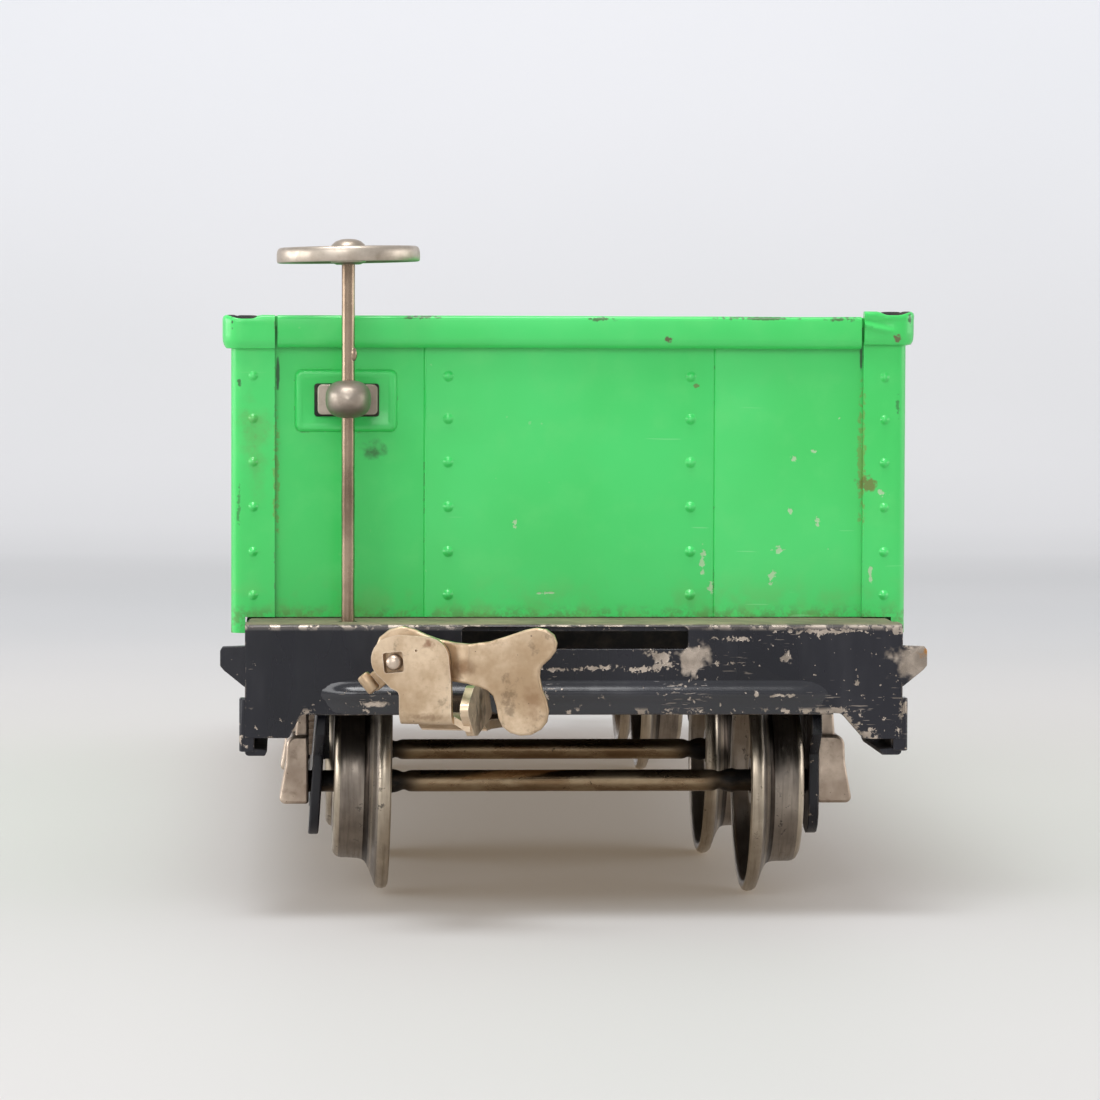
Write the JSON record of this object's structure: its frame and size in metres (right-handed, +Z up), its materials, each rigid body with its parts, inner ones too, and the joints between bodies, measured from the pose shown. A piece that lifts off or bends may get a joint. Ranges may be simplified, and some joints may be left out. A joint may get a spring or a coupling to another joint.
{
  "type": "model railway open goods wagon",
  "caption": "Open-top pressed-steel toy goods wagon: green tub on a black stamped frame, two swivelling trucks, latch couplers at both ends and a hand brake on a staff.",
  "frame": {"origin": "on the rail line under the middle of the wagon, where the wheel flanges touch down", "axes": "+Z up, +Y along the wagon away from the hand brake, +X to the right when facing the brake end"},
  "size_m": [0.0932, 0.3322, 0.0896],
  "materials": {
    "green_enamel": "glossy baked enamel, light green, scratched and stained",
    "black_enamel": "glossy black enamel, chipped to bright metal at the edges",
    "nickel": "worn nickel plate with a warm tarnish",
    "wheel_steel": "dark turned steel, bright at the worn edges",
    "bronzed_steel": "smooth steel with a bronze tarnish"
  },
  "bodies": {
    "wagon": {"chassis_frame": "black_enamel", "side_panel_left": "green_enamel", "side_panel_right": "green_enamel", "end_panel_brake": "green_enamel", "end_panel_plain": "green_enamel", "floor_panel": "green_enamel", "blank_plate_left_front": "nickel", "blank_plate_left_rear": "nickel", "blank_plate_right_front": "nickel", "blank_plate_right_rear": "nickel", "brake_bracket": "nickel", "frame_bolster_a": "black_enamel", "frame_bolster_b": "black_enamel", "king_pin_a": "nickel", "king_pin_b": "nickel"},
    "hand_brake": {"brake_staff": "nickel", "brake_wheel": "nickel"},
    "truck_a": {"truck_bolster_a": "black_enamel", "side_frame_a_left": "black_enamel", "side_frame_a_right": "black_enamel", "axle_a_outer": "bronzed_steel", "journal_box_a_outer_left": "nickel", "journal_box_a_outer_right": "nickel", "axle_a_inner": "bronzed_steel", "journal_box_a_inner_left": "nickel", "journal_box_a_inner_right": "nickel"},
    "wheel_a_outer_left_body": {"wheel_a_outer_left": "wheel_steel"},
    "wheel_a_outer_right_body": {"wheel_a_outer_right": "wheel_steel"},
    "wheel_a_inner_left_body": {"wheel_a_inner_left": "wheel_steel"},
    "wheel_a_inner_right_body": {"wheel_a_inner_right": "wheel_steel"},
    "coupler_a": {"drawbar_a": "nickel", "latch_rivet_a": "nickel"},
    "latch_body_a": {"latch_a": "nickel"},
    "truck_b": {"truck_bolster_b": "black_enamel", "side_frame_b_left": "black_enamel", "side_frame_b_right": "black_enamel", "axle_b_outer": "bronzed_steel", "journal_box_b_outer_left": "nickel", "journal_box_b_outer_right": "nickel", "axle_b_inner": "bronzed_steel", "journal_box_b_inner_left": "nickel", "journal_box_b_inner_right": "nickel"},
    "wheel_b_outer_left_body": {"wheel_b_outer_left": "wheel_steel"},
    "wheel_b_outer_right_body": {"wheel_b_outer_right": "wheel_steel"},
    "wheel_b_inner_left_body": {"wheel_b_inner_left": "wheel_steel"},
    "wheel_b_inner_right_body": {"wheel_b_inner_right": "wheel_steel"},
    "coupler_b": {"drawbar_b": "nickel", "latch_rivet_b": "nickel"},
    "latch_body_b": {"latch_b": "nickel"}
  },
  "joints": [
    {"name": "hand_brake_turn", "type": "hinge", "parent": "wagon", "child": "hand_brake", "pos_m": [-0.0298, -0.14, 0.06], "axis": [0, 0, 1], "continuous": true},
    {"name": "truck_swivel_a", "type": "hinge", "parent": "wagon", "child": "truck_a", "pos_m": [0, -0.0915, 0.03], "axis": [0, 0, 1], "range_deg": [-10, 10]},
    {"name": "wheel_a_outer_left_spin", "type": "hinge", "parent": "truck_a", "child": "wheel_a_outer_left_body", "pos_m": [-0.028, -0.116, 0.0155], "axis": [1, 0, 0], "continuous": true},
    {"name": "wheel_a_outer_right_spin", "type": "hinge", "parent": "truck_a", "child": "wheel_a_outer_right_body", "pos_m": [0.028, -0.116, 0.0155], "axis": [1, 0, 0], "continuous": true},
    {"name": "wheel_a_inner_left_spin", "type": "hinge", "parent": "truck_a", "child": "wheel_a_inner_left_body", "pos_m": [-0.028, -0.067, 0.0155], "axis": [1, 0, 0], "continuous": true},
    {"name": "wheel_a_inner_right_spin", "type": "hinge", "parent": "truck_a", "child": "wheel_a_inner_right_body", "pos_m": [0.028, -0.067, 0.0155], "axis": [1, 0, 0], "continuous": true},
    {"name": "coupler_swing_a", "type": "hinge", "parent": "wagon", "child": "coupler_a", "pos_m": [0, -0.0915, 0.026], "axis": [0, 0, 1], "range_deg": [-3, 31]},
    {"name": "latch_tip_a", "type": "hinge", "parent": "coupler_a", "child": "latch_body_a", "pos_m": [-0.02411, -0.16052, 0.035], "axis": [-0.2419, -0.9703, 0], "range_deg": [0, 35]},
    {"name": "truck_swivel_b", "type": "hinge", "parent": "wagon", "child": "truck_b", "pos_m": [0, 0.0915, 0.03], "axis": [0, 0, 1], "range_deg": [-10, 10]},
    {"name": "wheel_b_outer_left_spin", "type": "hinge", "parent": "truck_b", "child": "wheel_b_outer_left_body", "pos_m": [-0.028, 0.116, 0.0155], "axis": [1, 0, 0], "continuous": true},
    {"name": "wheel_b_outer_right_spin", "type": "hinge", "parent": "truck_b", "child": "wheel_b_outer_right_body", "pos_m": [0.028, 0.116, 0.0155], "axis": [1, 0, 0], "continuous": true},
    {"name": "wheel_b_inner_left_spin", "type": "hinge", "parent": "truck_b", "child": "wheel_b_inner_left_body", "pos_m": [-0.028, 0.067, 0.0155], "axis": [1, 0, 0], "continuous": true},
    {"name": "wheel_b_inner_right_spin", "type": "hinge", "parent": "truck_b", "child": "wheel_b_inner_right_body", "pos_m": [0.028, 0.067, 0.0155], "axis": [1, 0, 0], "continuous": true},
    {"name": "coupler_swing_b", "type": "hinge", "parent": "wagon", "child": "coupler_b", "pos_m": [0, 0.0915, 0.026], "axis": [0, 0, 1], "range_deg": [-3, 31]},
    {"name": "latch_tip_b", "type": "hinge", "parent": "coupler_b", "child": "latch_body_b", "pos_m": [0.02411, 0.16052, 0.035], "axis": [0.2419, 0.9703, 0], "range_deg": [0, 35]}
  ]
}
